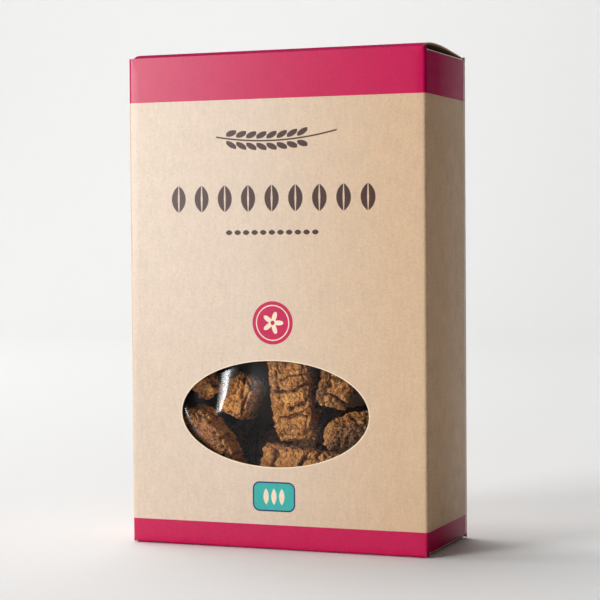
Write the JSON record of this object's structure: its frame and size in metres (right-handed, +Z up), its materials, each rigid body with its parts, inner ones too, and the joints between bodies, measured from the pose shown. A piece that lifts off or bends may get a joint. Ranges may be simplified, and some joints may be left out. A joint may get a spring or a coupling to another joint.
{
  "type": "box of biscotti",
  "caption": "Shut upright folding carton of kraft board with an oval window, through which biscotti in a clear inner bag show.",
  "frame": {"origin": "centre of the carton's base, on the surface that it stands on", "axes": "+Z up along the carton's height, +X to the right along the front, -Y out of the front with the window"},
  "size_m": [0.128, 0.055, 0.2021],
  "materials": {
    "kraft_board": "matt uncoated kraft board with printed bands",
    "clear_film": "clear crinkled bag film",
    "baked_biscuit": "dry, cracked golden brown crust with a crumbly cut face"
  },
  "bodies": {
    "root": {"carton": "kraft_board", "bag": "clear_film", "biscotto_far_left": "baked_biscuit", "biscotto_upper_left": "baked_biscuit", "biscotto_lower_left": "baked_biscuit", "biscotto_centre": "baked_biscuit", "biscotto_upper_right": "baked_biscuit", "biscotto_lower_right": "baked_biscuit", "biscotto_bottom": "baked_biscuit"}
  },
  "joints": []
}
